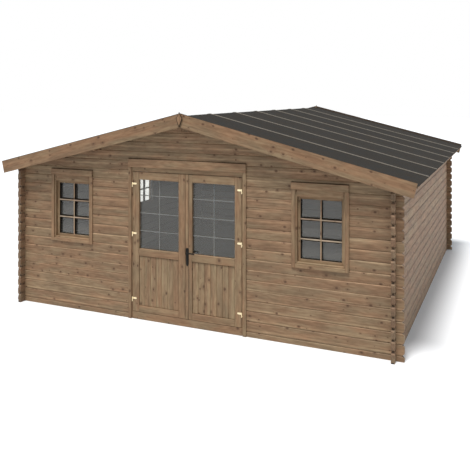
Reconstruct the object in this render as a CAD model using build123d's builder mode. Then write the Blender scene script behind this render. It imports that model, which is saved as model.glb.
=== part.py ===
"""Garden log cabin: crossing log walls, low gable roof in lapped felt, double door, three windows.

Millimetres. The origin is on the ground under the middle of the cabin, X to the right seen from
the front, Y to the back and Z up.
"""

import os
from math import ceil, cos, radians, sin, tan

from build123d import *

os.makedirs("parts", exist_ok=True)

# Log walls
front_width = 5640.0        # over the outer faces of the side walls
side_depth = 6060.0         # over the outer faces of the front and rear walls
log_thickness = 44.0
log_pitch = 135.0
wall_rows = 16              # full logs in a side wall
log_end = 97.0              # a log end past the outer face of the wall that it crosses
joint_chamfer = 10.0        # half of the V joint between two logs
tongue_rise = 5.0
log_gap = 0.4               # play between a tongue and its groove
notch_gap = 0.4             # play in a corner notch
end_chamfer = 30.0          # bevel on the corners of a log end

# Roof
roof_pitch = 13.88          # degrees
board_thickness = 19.0
eave_overhang = 255.0       # side wall to the boards' eave edge, measured level
roof_overhang = 160.0       # gable wall to the face of the barge boards
felt_strips = 7
felt_thin = 3.5             # a strip's thickness at its front edge
felt_thick = 7.5            # the same where its rear edge laps the next strip
felt_drip = 25.0            # felt past the boards at the eave
felt_gap = 0.5
seat_gap = 0.3              # play between the roof and what carries it
barge_width = 182.0
barge_thickness = 20.0
barge_rise = 34.0           # barge boards above the roof boards, square to the slope
barge_past_boards = 15.0    # barge boards' upper ends past the boards' eave edge
fascia_thickness = 18.0
fascia_height = 24.0
cover_width = 66.0          # diamond cover on the apex
cover_rise = 20.0           # its tip above the barge boards
cover_shoulder = 88.0       # its widest place below its tip
cover_height = 206.0
cover_thickness = 20.0
ridge_purlin_width = 120.0
ridge_purlin_depth = 200.0
side_purlin_width = 44.0
side_purlin_depth = 145.0
side_purlin_place = 1410.0  # purlin centre from the ridge
purlin_gap = 0.4

# Floor
joist_width = 45.0
joist_height = 60.0
joist_count = 7
floor_thickness = 19.0
floor_gap = 0.5

# Doorway
leaf_width = 832.0
leaf_bottom = 105.0
leaf_height = 1965.0
leaf_thickness = 44.0
leaf_gap = 5.0              # round a leaf, to the frame
meeting_gap = 7.0           # between the two leaves
stile_width = 101.0
top_rail_height = 108.0
mid_rail_height = 100.0
bottom_rail_height = 88.0
glass_height = 970.0
member_gap = 0.3            # glued joints in frames
pane_thickness = 8.0
pane_setback = 34.0         # front face of a leaf to its pane
panel_thickness = 20.0
panel_setback = 10.0
post_width = 40.0
frame_depth = 70.0
head_height = 72.0
opening_gap = 2.0           # logs to a door or window frame
door_trim_width = 50.0
door_trim_lap = 28.0        # door trim over the posts
trim_thickness = 18.0
head_trim_height = 116.0
head_trim_thickness = 30.0
head_trim_clear = 61.0      # lower edge of the frame head to the head trim

# Hinges
hinge_above_bottom = 170.0  # lowest hinge above the leaf's lower edge
hinge_below_top = 182.0     # top hinge below the leaf's upper edge
middle_hinge_drop = 698.0   # middle hinge below the top one
barrel_sides = 12
barrel_radius = 7.0
barrel_length = 32.0
barrel_standoff = 8.0       # hinge axis in front of the leaf
pin_radius = 4.0
pin_clearance = 0.05
barrel_gap = 0.5
strap_length = 66.0
strap_height = 26.0
strap_thickness = 3.0
flap_clear = 1.5            # hinge flap on the post to the door trim

# Lock and lever handle on the right leaf
handle_height = 1008.0
backset = 29.0              # handle axis from the leaf's free edge
plate_width = 42.0
plate_height = 250.0
plate_thickness = 8.0
plate_above_axis = 67.0
spindle_radius = 6.0
spindle_clearance = 0.05
spindle_hole_play = 4.0
neck_radius = 9.0
neck_length = 36.0
neck_gap = 0.5
lever_length = 125.0
lever_height = 19.0
lever_thickness = 12.0

# Windows
window_width = 600.0        # daylight opening
window_height = 826.0
window_sill_height = 1047.0
window_spacing = 1890.0     # front windows from the middle of the cabin
side_window_place = 360.0   # left wall window behind the middle of the cabin
window_side = 40.0          # frame members
window_bottom = 40.0
window_top = 112.0
window_depth = 95.0
sash_width = 34.0
sash_thickness = 48.0
sash_setback = 45.0         # face of the frame to the sash
window_pane_setback = 85.0
window_pane_thickness = 6.0
window_trim_width = 50.0
window_trim_lap = 20.0      # trim over the frame
window_head_height = 87.0

# Worked out from the driving dimensions
slope = tan(radians(roof_pitch))
plumb = 1.0 / cos(radians(roof_pitch))      # upright height of a thickness square to the slope
half_width = front_width / 2
roof_half_width = half_width + eave_overhang
barge_half_span = roof_half_width + barge_past_boards
half_depth = side_depth / 2
half_log = log_thickness / 2
inner_half_width = half_width - log_thickness
inner_half_depth = half_depth - log_thickness
wall_top = wall_rows * log_pitch
ridge_soffit = wall_top + inner_half_width * slope
gable_rows = ceil(ridge_soffit / log_pitch - 0.5)
roof_half_length = half_depth + roof_overhang - barge_thickness
front_face = -half_depth
doorway_half = meeting_gap / 2 + leaf_width + leaf_gap
head_bottom = leaf_bottom + leaf_height + leaf_gap
sill_top = leaf_bottom - leaf_gap
top_hinge = leaf_bottom + leaf_height - hinge_below_top
hinge_heights = (leaf_bottom + hinge_above_bottom, top_hinge - middle_hinge_drop, top_hinge)
hinge_x = meeting_gap / 2 + leaf_width + leaf_gap / 2
hinge_y = front_face - barrel_standoff
post_outer = doorway_half + post_width
trim_inner = post_outer - door_trim_lap
trim_outer = trim_inner + door_trim_width
glass_bottom = leaf_bottom + leaf_height - top_rail_height - glass_height
panel_bottom = leaf_bottom + bottom_rail_height
panel_top = glass_bottom - mid_rail_height
handle_x = meeting_gap / 2 + backset


def soffit(x):
    """Height of the roof boards' underside at a distance x from the ridge."""
    return ridge_soffit - abs(x) * slope


def block(low, high):
    """A box between two corners, in the part that is being built."""
    size = [b - a for a, b in zip(low, high)]
    middle = [(a + b) / 2 for a, b in zip(low, high)]
    with Locations(tuple(middle)):
        Box(*size)


def save(piece, node):
    """Label a finished piece and write it under its node's name."""
    piece.label = node
    export_step(piece, f"parts/{node}.step")


# Logs

def log_section(height, grooved):
    """Section of a log across its wall: tongue above, groove or flat below, V joint edges."""
    lip = half_log - joint_chamfer
    crown = lip - tongue_rise
    shoulder = height - log_gap
    groove = [(-half_log, joint_chamfer), (-lip, 0), (-crown, tongue_rise)]
    flat = [(-half_log, 0)]
    left_side = groove if grooved else flat
    tongue = [(half_log, shoulder - joint_chamfer), (crown, shoulder + tongue_rise)]
    right_side = [(-y, z) for y, z in reversed(left_side)]
    return left_side + right_side + tongue + [(-y, z) for y, z in reversed(tongue)]


def log_outline(run, crossing, height, grooved):
    """Face view of a log: bevelled ends, and a saddle notch from below over each crossing wall."""
    end = run / 2
    top = height + tongue_rise
    notch = height - log_pitch / 2 + tongue_rise + notch_gap
    near = crossing - half_log - notch_gap
    far = crossing + half_log + notch_gap
    right = [(end - end_chamfer - tongue_rise, top), (end, height - end_chamfer)]
    right += [(end, end_chamfer), (end - end_chamfer, 0)] if grooved else [(end, 0)]
    if notch > log_pitch / 4:
        right += [(far, 0), (far, notch), (near, notch), (near, 0)]
    return right + [(-x, z) for x, z in reversed(right)]


def crossing_log(run, crossing, height=log_pitch, grooved=True):
    """A log along X with both ends notched over the crossing walls."""
    with BuildPart() as log:
        with BuildSketch(Plane.YZ.offset(-run / 2)):
            with BuildLine():
                Polyline(*log_section(height, grooved), close=True)
            make_face()
        extrude(amount=run)
        with BuildSketch(Plane.XZ):
            with BuildLine():
                Polyline(*log_outline(run, crossing, height, grooved), close=True)
            make_face()
        extrude(amount=log_thickness, both=True, mode=Mode.INTERSECT)
    return log.part


def plain_log(run):
    """A log along X with plain ends, for the gables."""
    with BuildPart() as log:
        with BuildSketch(Plane.YZ.offset(-run / 2)):
            with BuildLine():
                Polyline(*log_section(log_pitch, True), close=True)
            make_face()
        extrude(amount=run)
    return log.part


def under_roof(run):
    """The space below the roof boards, as a prism along Y."""
    with BuildPart() as space:
        with BuildSketch(Plane.XZ):
            with BuildLine():
                Polyline(
                    (-front_width, 0),
                    (front_width, 0),
                    (front_width, soffit(front_width) - seat_gap),
                    (0, ridge_soffit - seat_gap),
                    (-front_width, soffit(front_width) - seat_gap),
                    close=True,
                )
            make_face()
        extrude(amount=run, both=True)
    return space.part


def purlin_spaces():
    """The slots that the purlins need in the gables, as low and high corners in X and Z."""
    spaces = []
    for x, width, depth in (
        (-side_purlin_place, side_purlin_width, side_purlin_depth),
        (0.0, ridge_purlin_width, ridge_purlin_depth),
        (side_purlin_place, side_purlin_width, side_purlin_depth),
    ):
        spaces.append((x - width / 2, x + width / 2, soffit(x) - depth))
    return spaces


front_run = front_width + 2 * log_end
side_run = side_depth + 2 * log_end
front_crossing = half_width - half_log
side_crossing = half_depth - half_log
front_log = crossing_log(front_run, front_crossing)
front_half_log = crossing_log(front_run, front_crossing, log_pitch / 2, grooved=False)
side_log = crossing_log(side_run, side_crossing)
side_ground_log = crossing_log(side_run, side_crossing, grooved=False)
roof_space = under_roof(side_run)


def gable_wall(y):
    """A front or rear wall up to the eaves: a half log on the ground, then full logs."""
    with BuildPart() as wall:
        with Locations((0, y, 0)):
            add(front_half_log)
        with Locations(*[(0, y, (row - 0.5) * log_pitch) for row in range(1, wall_rows)]):
            add(front_log)
    return wall.part


def gable(y):
    """The logs from the eaves to the ridge, cut to the roof's slopes and round the purlins."""
    with BuildPart() as wall:
        for row in range(wall_rows, gable_rows + 1):
            low = (row - 0.5) * log_pitch
            half_run = min((ridge_soffit - low) / slope, inner_half_width - notch_gap)
            with Locations((0, y, low)):
                add(plain_log(2 * half_run))
        add(roof_space, mode=Mode.INTERSECT)
        for left, right, low in purlin_spaces():
            with Locations(((left + right) / 2, y, low + ridge_soffit / 2 - purlin_gap)):
                Box(right - left + 2 * purlin_gap, side_purlin_depth, ridge_soffit, mode=Mode.SUBTRACT)
    return wall.part


def side_wall(x):
    """A side wall: full logs from the ground, the top one planed to the roof's slope."""
    with BuildPart() as wall:
        with Locations(Location((x, 0, 0), (0, 0, 90))):
            add(side_ground_log)
        with Locations(*[Location((x, 0, row * log_pitch), (0, 0, 90)) for row in range(1, wall_rows)]):
            add(side_log)
        add(roof_space, mode=Mode.INTERSECT)
    return wall.part


window_frame_half = window_width / 2 + window_side
window_frame_low = window_sill_height - window_bottom
window_frame_high = window_sill_height + window_height + window_top
window_opening_height = window_frame_high - window_frame_low + 2 * opening_gap
window_opening_middle = (window_frame_high + window_frame_low) / 2
window_opening_width = 2 * (window_frame_half + opening_gap)
side_window_drop = log_pitch / 2            # the side walls' courses lie half a log lower
front_wall_y = front_face + half_log
rear_wall_y = half_depth - half_log
side_wall_x = half_width - half_log
head_top = head_bottom + head_height
doorway_top = head_top + opening_gap

with BuildPart() as front_logs:
    add(gable_wall(front_wall_y))
    add(gable(front_wall_y))
    with Locations((0, front_wall_y, doorway_top / 2)):
        Box(2 * (post_outer + opening_gap), 2 * log_thickness, doorway_top, mode=Mode.SUBTRACT)
    with Locations(
        (-window_spacing, front_wall_y, window_opening_middle),
        (window_spacing, front_wall_y, window_opening_middle),
    ):
        Box(window_opening_width, 2 * log_thickness, window_opening_height, mode=Mode.SUBTRACT)


def side_of_door(log):
    """-1 for a log left of the doorway, 1 for one right of it, 0 for one that passes over it."""
    box = log.bounding_box()
    if box.max.Z > wall_top or box.min.X < 0 < box.max.X:
        return 0
    return -1 if box.max.X < 0 else 1


for side, node in ((-1, "front_wall_left"), (0, "front_gable"), (1, "front_wall_right")):
    with BuildPart() as logs:
        add(front_logs.part.solids().filter_by(lambda log: side_of_door(log) == side))
    save(logs.part, node)

save(gable_wall(rear_wall_y), "rear_wall")
save(gable(rear_wall_y), "rear_gable")
save(side_wall(side_wall_x), "right_wall")

with BuildPart() as left_wall:
    add(side_wall(-side_wall_x))
    with Locations((-side_wall_x, side_window_place, window_opening_middle - side_window_drop)):
        Box(2 * log_thickness, window_opening_width, window_opening_height, mode=Mode.SUBTRACT)
save(left_wall.part, "left_wall")


# Roof

def purlin(x, width, depth):
    """A purlin under the boards at a distance x from the ridge, its top planed to the slope."""
    with BuildPart() as beam:
        block(
            (x - width / 2, -roof_half_length, soffit(x) - depth),
            (x + width / 2, roof_half_length, ridge_soffit),
        )
        add(under_roof(roof_half_length + barge_width), mode=Mode.INTERSECT)
    return beam.part


save(purlin(0.0, ridge_purlin_width, ridge_purlin_depth), "ridge_purlin")

with BuildPart() as side_purlins:
    for x in (-side_purlin_place, side_purlin_place):
        add(purlin(x, side_purlin_width, side_purlin_depth))
save(side_purlins.part, "side_purlins")


def roof_boards(side):
    """The boarding of one slope, upright at the ridge and at the eave."""
    board_plumb = board_thickness * plumb
    near = seat_gap / 2
    with BuildPart() as boards:
        with BuildSketch(Plane.XZ):
            with BuildLine():
                Polyline(
                    (side * near, soffit(near)),
                    (side * roof_half_width, soffit(roof_half_width)),
                    (side * roof_half_width, soffit(roof_half_width) + board_plumb),
                    (side * near, soffit(near) + board_plumb),
                    close=True,
                )
            make_face()
        extrude(amount=roof_half_length, both=True)
    return boards.part


def felt(side):
    """The felt strips of one slope, ridge to eave, each thicker where its rear edge laps the next."""
    strip = 2 * roof_half_length / felt_strips
    ridge_top = ridge_soffit + board_thickness * plumb
    run = (roof_half_width + felt_drip) * plumb
    down = Vector(side * cos(radians(roof_pitch)), 0, -sin(radians(roof_pitch)))
    across = Plane(origin=(0, 0, ridge_top), x_dir=(0, side, 0), z_dir=down)
    with BuildPart() as cover:
        for index in range(felt_strips):
            front = -roof_half_length + index * strip
            rear = front + strip - felt_gap
            with BuildSketch(across.offset(-felt_thick)):
                with BuildLine():
                    Polyline(
                        (side * front, 0),
                        (side * rear, 0),
                        (side * rear, felt_thick),
                        (side * front, felt_thin),
                        close=True,
                    )
                make_face()
            extrude(amount=run + felt_thick)
        split(bisect_by=Plane.YZ.offset(side * seat_gap / 2), keep=Keep.TOP if side > 0 else Keep.BOTTOM)
    return cover.part


def barge_boards(facing):
    """The two barge boards of one gable end, mitred at the apex, their lower ends square to the slope."""
    lift = (board_thickness + barge_rise) * plumb
    near = seat_gap / 2
    drop = barge_width * plumb
    outer = facing * (half_depth + roof_overhang)
    with BuildPart() as boards:
        for side in (-1, 1):
            tip = Vector(side * barge_half_span, soffit(barge_half_span) + lift)
            heel_x = side * (barge_half_span - barge_width * sin(radians(roof_pitch)))
            heel_z = tip.Y - barge_width * cos(radians(roof_pitch))
            with BuildSketch(Plane(origin=(0, outer, 0), x_dir=(1, 0, 0), z_dir=(0, -1, 0))):
                with BuildLine():
                    Polyline(
                        (side * near, soffit(near) + lift),
                        (tip.X, tip.Y),
                        (heel_x, heel_z),
                        (side * near, soffit(near) + lift - drop),
                        close=True,
                    )
                make_face()
            extrude(amount=facing * barge_thickness)
    return boards.part


def apex_cover(facing):
    """The diamond-shaped board over the mitre of the barge boards."""
    tip = ridge_soffit + (board_thickness + barge_rise) * plumb + cover_rise
    outer = facing * (half_depth + roof_overhang)
    with BuildPart() as cover:
        with BuildSketch(Plane(origin=(0, outer, 0), x_dir=(1, 0, 0), z_dir=(0, -1, 0))):
            with BuildLine():
                Polyline(
                    (0, tip),
                    (cover_width / 2, tip - cover_shoulder),
                    (0, tip - cover_height),
                    (-cover_width / 2, tip - cover_shoulder),
                    close=True,
                )
            make_face()
        extrude(amount=-facing * cover_thickness)
    return cover.part


def eave_fascia(side):
    """The board along the roof boards' eave edge."""
    outer = roof_half_width + fascia_thickness
    top = soffit(outer) + board_thickness * plumb - seat_gap
    with BuildPart() as board:
        block(
            (min(side * roof_half_width, side * outer), -roof_half_length, top - fascia_height),
            (max(side * roof_half_width, side * outer), roof_half_length, top),
        )
    return board.part


for side, word in ((-1, "left"), (1, "right")):
    save(roof_boards(side), f"roof_boards_{word}")
    save(felt(side), f"roof_felt_{word}")
    save(eave_fascia(side), f"eave_fascia_{word}")

for facing, word in ((-1, "front"), (1, "rear")):
    save(barge_boards(facing), f"{word}_barge_boards")
    save(apex_cover(facing), f"{word}_apex_cover")

# Floor
floor_top = joist_height + floor_thickness
floor_rear = inner_half_depth - floor_gap
joist_front = front_face + frame_depth + floor_gap
with BuildPart() as floor_joists:
    joist_step = (floor_rear - joist_front - joist_width) / (joist_count - 1)
    with Locations((0, (floor_rear + joist_front) / 2, joist_height / 2)):
        with GridLocations(0, joist_step, 1, joist_count):
            Box(2 * (inner_half_width - floor_gap), joist_width, joist_height)
save(floor_joists.part, "floor_joists")

with BuildPart() as floor_boards:
    block(
        (-inner_half_width + floor_gap, -inner_half_depth + floor_gap, joist_height),
        (inner_half_width - floor_gap, floor_rear, floor_top),
    )
    with Locations((0, front_face, joist_height)):
        Box(
            2 * (post_outer + floor_gap),
            2 * (frame_depth + floor_gap),
            4 * floor_thickness,
            mode=Mode.SUBTRACT,
        )
save(floor_boards.part, "floor_boards")

# Door frame
frame_back = front_face + frame_depth
with BuildPart() as door_posts:
    for side in (-1, 1):
        inner = side * doorway_half
        outer = side * post_outer
        block((min(inner, outer), front_face, 0), (max(inner, outer), frame_back, head_bottom))
save(door_posts.part, "door_posts")

with BuildPart() as door_head:
    block((-post_outer, front_face, head_bottom + member_gap), (post_outer, frame_back, head_top))
save(door_head.part, "door_head")

with BuildPart() as door_sill:
    block(
        (-doorway_half + member_gap, front_face, 0),
        (doorway_half - member_gap, frame_back, sill_top),
    )
save(door_sill.part, "door_sill")

trim_face = front_face - trim_thickness
head_trim_low = head_bottom + head_trim_clear
with BuildPart() as door_side_trims:
    for side in (-1, 1):
        inner = side * trim_inner
        outer = side * trim_outer
        block(
            (min(inner, outer), trim_face, 0),
            (max(inner, outer), front_face, head_trim_low - member_gap),
        )
save(door_side_trims.part, "door_side_trims")

with BuildPart() as door_head_trim:
    block(
        (-trim_outer, front_face - head_trim_thickness, head_trim_low),
        (trim_outer, front_face, head_trim_low + head_trim_height),
    )
save(door_head_trim.part, "door_head_trim")


# Hinges

def barrel(x, low):
    """One many-sided half of a hinge barrel, in the part that is being built."""
    with BuildSketch(Plane.XY.offset(low)) as ring:
        with Locations((x, hinge_y)):
            RegularPolygon(barrel_radius, barrel_sides)
    extrude(ring.sketch, amount=barrel_length)


def frame_hinge_halves():
    """Lower halves of the hinges: a flap on the post, a barrel and the pin that carries the leaf."""
    with BuildPart() as halves:
        for side in (-1, 1):
            for height in hinge_heights:
                axis_x = side * hinge_x
                flap_end = side * (trim_inner - flap_clear)
                low = height - barrel_length
                barrel(axis_x, low)
                with Locations((axis_x, hinge_y, height)):
                    Cylinder(
                        pin_radius,
                        barrel_length - strap_thickness,
                        align=(Align.CENTER, Align.CENTER, Align.MIN),
                    )
                block(
                    (min(axis_x, flap_end), front_face - strap_thickness, low),
                    (max(axis_x, flap_end), front_face, low + strap_height),
                )
    return halves.part


def leaf_hinge_halves(side):
    """Upper halves of one leaf's hinges: a strap on the leaf and a barrel over the pin."""
    with BuildPart() as halves:
        for height in hinge_heights:
            axis_x = side * hinge_x
            strap_end = side * (hinge_x - strap_length)
            low = height + barrel_gap
            barrel(axis_x, low)
            block(
                (min(axis_x, strap_end), front_face - strap_thickness, low),
                (max(axis_x, strap_end), front_face, low + strap_height),
            )
            with Locations((axis_x, hinge_y, low)):
                Cylinder(
                    pin_radius + pin_clearance,
                    barrel_length - strap_thickness + barrel_gap,
                    align=(Align.CENTER, Align.CENTER, Align.MIN),
                    mode=Mode.SUBTRACT,
                )
    return halves.part


save(frame_hinge_halves(), "door_frame_hinges")


# Door leaves

def leaf_frame(side):
    """Stiles and rails of one leaf, with the spindle hole in the right leaf's meeting stile."""
    edge = meeting_gap / 2
    back = front_face + leaf_thickness
    top = leaf_bottom + leaf_height
    rails = (
        (leaf_bottom, leaf_bottom + bottom_rail_height),
        (panel_top, glass_bottom),
        (top - top_rail_height, top),
    )
    with BuildPart() as frame:
        for low, high in ((edge, edge + stile_width), (edge + leaf_width - stile_width, edge + leaf_width)):
            ends = sorted((side * low, side * high))
            block((ends[0], front_face, leaf_bottom), (ends[1], back, top))
        rail_low = edge + stile_width + member_gap
        rail_high = edge + leaf_width - stile_width - member_gap
        ends = sorted((side * rail_low, side * rail_high))
        for low, high in rails:
            block((ends[0], front_face, low), (ends[1], back, high))
        if side > 0:
            with Locations(Location((handle_x, front_face + leaf_thickness / 2, handle_height), (90, 0, 0))):
                Cylinder(spindle_radius + spindle_hole_play, 2 * leaf_thickness, mode=Mode.SUBTRACT)
    return frame.part


def leaf_filling(side, low, high, setback, thickness):
    """A pane or panel between the stiles and rails of one leaf."""
    edge = meeting_gap / 2
    near = edge + stile_width + member_gap
    far = edge + leaf_width - stile_width - member_gap
    ends = sorted((side * near, side * far))
    with BuildPart() as filling:
        block(
            (ends[0], front_face + setback, low + member_gap),
            (ends[1], front_face + setback + thickness, high - member_gap),
        )
    return filling.part


glass_top = glass_bottom + glass_height
for side, word in ((-1, "left"), (1, "right")):
    save(leaf_frame(side), f"{word}_leaf_frame")
    save(
        leaf_filling(side, panel_bottom, panel_top, panel_setback, panel_thickness),
        f"{word}_leaf_panel",
    )
    save(
        leaf_filling(side, glass_bottom, glass_top, pane_setback, pane_thickness),
        f"{word}_leaf_glass",
    )
    save(leaf_hinge_halves(side), f"{word}_leaf_hinges")

leaf_back = front_face + leaf_thickness
plate_middle = handle_height + plate_above_axis - plate_height / 2
with BuildPart() as lock_plates:
    for face in (front_face - plate_thickness, leaf_back):
        block(
            (handle_x - plate_width / 2, face, plate_middle - plate_height / 2),
            (handle_x + plate_width / 2, face + plate_thickness, plate_middle + plate_height / 2),
        )
    with Locations(Location((handle_x, front_face + leaf_thickness / 2, handle_height), (90, 0, 0))):
        Cylinder(spindle_radius + spindle_clearance, 3 * leaf_thickness, mode=Mode.SUBTRACT)
save(lock_plates.part, "lock_plates")

with BuildPart() as lever_handle:
    spindle_length = leaf_thickness + 2 * (plate_thickness + neck_gap)
    with Locations(Location((handle_x, front_face + leaf_thickness / 2, handle_height), (90, 0, 0))):
        Cylinder(spindle_radius, spindle_length)
    for face, way in ((front_face, -1), (leaf_back, 1)):
        start = face + way * (plate_thickness + neck_gap)
        end = start + way * neck_length
        with Locations(Location((handle_x, (start + end) / 2, handle_height), (90, 0, 0))):
            Cylinder(neck_radius, neck_length)
        tip = end + way * lever_thickness
        block(
            (handle_x - neck_radius, min(end, tip), handle_height - lever_height / 2),
            (handle_x + lever_length, max(end, tip), handle_height + lever_height / 2),
        )
save(lever_handle.part, "lever_handle")


# Windows

def four_members(half, low, high, widths, back, front):
    """Stiles and rails round an opening; widths are those of the sides, the bottom and the top."""
    side_width, bottom_width, top_width = widths
    for side in (-1, 1):
        ends = sorted((side * half, side * (half + side_width)))
        block((ends[0], low - bottom_width, back), (ends[1], high + top_width, front))
    rail = half - member_gap
    block((-rail, low - bottom_width, back), (rail, low, front))
    block((-rail, high, back), (rail, high + top_width, front))


def window(plane, name):
    """Frame with its sash, pane and outer trim; the plane lies on the wall's face at the sill."""
    half = window_width / 2
    frame_low = -window_bottom
    frame_high = window_height + window_top
    sash_rim = sash_width - member_gap
    day_half = half - sash_width
    day_low = sash_width
    day_high = window_height - sash_width
    with BuildPart(plane) as frame:
        four_members(half, 0, window_height, (window_side, window_bottom, window_top), -window_depth, 0)
        four_members(
            day_half,
            day_low,
            day_high,
            (sash_rim, sash_rim, sash_rim),
            -sash_setback - sash_thickness,
            -sash_setback,
        )
    save(frame.part, f"{name}_frame")

    with BuildPart(plane) as pane:
        block(
            (-day_half + member_gap, day_low + member_gap, -window_pane_setback - window_pane_thickness),
            (day_half - member_gap, day_high - member_gap, -window_pane_setback),
        )
    save(pane.part, f"{name}_glass")

    trim_near = half + window_side - window_trim_lap
    trim_far = trim_near + window_trim_width
    trim_low = frame_low + window_trim_lap - window_trim_width
    head_low = frame_high - window_trim_lap
    with BuildPart(plane) as trim:
        for side in (-1, 1):
            ends = sorted((side * trim_near, side * trim_far))
            block((ends[0], trim_low, 0), (ends[1], head_low - member_gap, trim_thickness))
        block(
            (-trim_near + member_gap, trim_low, 0),
            (trim_near - member_gap, trim_low + window_trim_width, trim_thickness),
        )
        block((-trim_far, head_low, 0), (trim_far, head_low + window_head_height, head_trim_thickness))
    save(trim.part, f"{name}_trim")


for x, name in ((-window_spacing, "front_left_window"), (window_spacing, "front_right_window")):
    window(
        Plane(origin=(x, front_face, window_sill_height), x_dir=(1, 0, 0), z_dir=(0, -1, 0)),
        name,
    )
side_sill_height = window_sill_height - side_window_drop
window(
    Plane(origin=(-half_width, side_window_place, side_sill_height), x_dir=(0, -1, 0), z_dir=(-1, 0, 0)),
    "left_wall_window",
)
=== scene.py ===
import math
import random

import bmesh
import bpy
from mathutils import Matrix, Vector


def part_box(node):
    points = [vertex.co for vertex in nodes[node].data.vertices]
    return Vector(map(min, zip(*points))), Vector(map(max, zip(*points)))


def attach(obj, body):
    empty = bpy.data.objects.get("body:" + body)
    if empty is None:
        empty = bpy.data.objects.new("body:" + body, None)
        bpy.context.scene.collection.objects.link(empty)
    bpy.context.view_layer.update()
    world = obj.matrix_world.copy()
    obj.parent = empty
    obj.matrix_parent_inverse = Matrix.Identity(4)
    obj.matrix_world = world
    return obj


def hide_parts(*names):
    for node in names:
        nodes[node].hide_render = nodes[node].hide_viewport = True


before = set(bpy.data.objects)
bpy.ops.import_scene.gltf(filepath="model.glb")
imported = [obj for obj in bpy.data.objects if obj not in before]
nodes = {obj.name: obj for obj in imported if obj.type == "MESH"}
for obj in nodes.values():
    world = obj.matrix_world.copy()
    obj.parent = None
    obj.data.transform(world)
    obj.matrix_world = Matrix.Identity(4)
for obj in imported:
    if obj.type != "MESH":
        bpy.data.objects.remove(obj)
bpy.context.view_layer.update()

# Sizes in metres. X runs to the right seen from the front, Y to the back and Z up.
ALONG_X, ALONG_Y, ALONG_Z = range(3)
RIGHTWARD, LEFTWARD = (1, 0, 0), (-1, 0, 0)
FRONTWARD, BACKWARD = (0, -1, 0), (0, 1, 0)
JOINT = 0.0003  # half of a glued joint between two members

# Chamfers, from planed boards down to thin strips
BOARD_EDGE = 0.004
FRAME_EDGE = 0.003
BARGE_EDGE = 0.0025
FINE_EDGE = 0.002
PLATE_EDGE = 0.0015
STRIP_EDGE = 0.001
SHEET_EDGE = 0.0008
WEB_EDGE = 0.0006
GRID_EDGE = 0.0004
# for the black strip of painted shade beside the meeting strip
PAINTED_SHADE_EDGE = 0.0003

# Walls
LOG_PITCH = 0.135
WALL_TOP = 16 * LOG_PITCH
INNER_HALF_WIDTH = 2.776
FRONT_MIDDLE = 3.008  # middle of the front and rear logs from the cabin's middle
SIDE_MIDDLE = 2.798  # the same of the side logs
INNER_HALF_LENGTH = FRONT_MIDDLE - SIDE_MIDDLE + INNER_HALF_WIDTH
# Painted highlight: pitch and first height of the pale lines on the gable walls' logs
HIGHLIGHT_LINE_PITCH = 0.12945
HIGHLIGHT_LINE_FIRST = 0.0978
FRONT_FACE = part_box("front_wall_left")[0].y
LEFT_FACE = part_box("left_wall")[0].x

# Roof and floor
ROOF_PITCH = math.radians(13.88)
ROOF_SLOPE = math.tan(ROOF_PITCH)
ROOF_PLUMB = 1.0 / math.cos(ROOF_PITCH)
ROOF_HALF_WIDTH = 3.075
ROOF_HALF_LENGTH = 3.170
RIDGE_SOFFIT = WALL_TOP + INNER_HALF_WIDTH * ROOF_SLOPE
RIDGE_GAP = 0.001  # between the boards of the two slopes and the ridge
RIDGE_TAIL_DEPTH = 0.125
DECK_THICKNESS = 0.019
BOARD_COVER = 0.1156  # the width that one roof board covers
FLOOR_COVER = 0.112  # and one floor board
FLOOR_GAP = 0.001  # behind the door frame
FELT_DRIP = 0.024
FELT_STRIPS = 7
LAP_WIDTH = 0.024
LAP_HEIGHT = 0.016
LAP_START = 0.002
CAP_THICKNESS = 0.004  # felt turned up over the barge boards
CAP_START = 0.02
BARGE_RISE = 0.034
BARGE_WIDTH = 0.182
BARGE_THICKNESS = 0.020
BARGE_HALF_SPAN = 3.090
BARGE_TOP = RIDGE_SOFFIT + (DECK_THICKNESS + BARGE_RISE) * ROOF_PLUMB
BARGE_KNOT_PITCH = 0.5
COVER_SHOULDER = 0.088  # widest place of the apex diamond below its tip
DIAMOND_SPREAD = 1.4
RIM_WIDTH = 0.008  # dark edge of the apex diamond, painted shade
RIM_SETBACK = 0.002

# Door
STILE_WIDTH = 0.101
PANEL_BOARDS = 7
PANEL_BEVEL = 0.008
POST_WIDTH = 0.040
DOOR_TRIM_WIDTH = 0.050
GRID_PITCH = 0.249  # level lines of the grid, up from the pane's lower edge
GRID_ROWS = 3
GRID_WIDTH = 0.013
GRID_THICKNESS = 0.0015
STRIP_INSET = 0.001  # meeting strip on the right leaf, from the leaf's edge
STRIP_WIDTH = 0.047
STRIP_HEIGHT = 0.0025
# black strip of painted shade beside the meeting strip
STRIP_SHADE_WIDTH = 0.004
STRIP_SHADE_HEIGHT = 0.001

# Hinges: X from the axis towards the leaf, heights from the middle of the hinge
HINGE_X = 0.838
HINGE_STANDOFF = 0.008  # hinge axis in front of the leaf
HINGE_HEIGHTS = (0.275, 1.190, 1.888)
HINGE_GAP = 0.0005  # half of the gap between the two halves
BARREL_RADIUS = 0.0070
BARREL_ROUND = 0.0012
BARREL_END = 0.0325
STRAP_LENGTH = 0.066
STRAP_HEIGHT = 0.026
STRAP_THICKNESS = 0.003
STRAP_SCREWS = ((0.024, 0.0135), (0.052, 0.0135))
WEB = (-0.004, 0.002, 0.006, 0.024)
WEB_THICKNESS = 0.004
FLAP = (-0.013, -0.027, 0.002, -0.001)

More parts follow.
